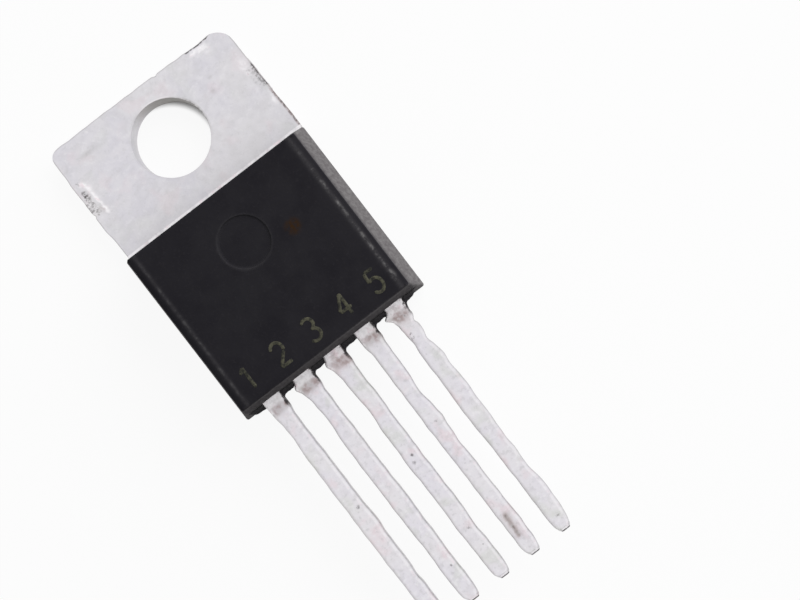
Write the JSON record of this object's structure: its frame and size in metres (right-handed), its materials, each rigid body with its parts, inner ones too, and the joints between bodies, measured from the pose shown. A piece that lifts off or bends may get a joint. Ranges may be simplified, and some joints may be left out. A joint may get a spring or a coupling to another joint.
{
  "type": "voltage regulator",
  "caption": "Black moulded voltage regulator with a drilled metal heatsink tab and a row of straight flat leads for soldering into a circuit board.",
  "frame": {"origin": "centre of the screw hole on the tab's back face", "axes": "+Z out of the body's front face, +Y from the hole towards the tab's top edge, leads towards -Y, +X towards the last lead"},
  "size_m": [0.01, 0.0275, 0.0045],
  "materials": {
    "epoxy": "matt black moulding compound with a fine spark-eroded grain and scuffed edges",
    "tin_plate": "dull tin plate over copper, finely mottled, with copper showing at sheared edges",
    "silicon": "polished silicon",
    "solder": "dull solder",
    "bond_wire": "drawn aluminium"
  },
  "bodies": {
    "root": {"moulded_body": "epoxy", "heatsink_tab": "tin_plate", "adjust_lead": "tin_plate", "inhibit_lead": "tin_plate", "ground_lead": "tin_plate", "input_lead": "tin_plate", "output_lead": "tin_plate", "silicon_die": "silicon", "die_solder": "solder", "adjust_wire": "bond_wire", "inhibit_wire": "bond_wire", "ground_wire": "bond_wire", "input_wire": "bond_wire", "output_wire": "bond_wire"}
  },
  "joints": []
}
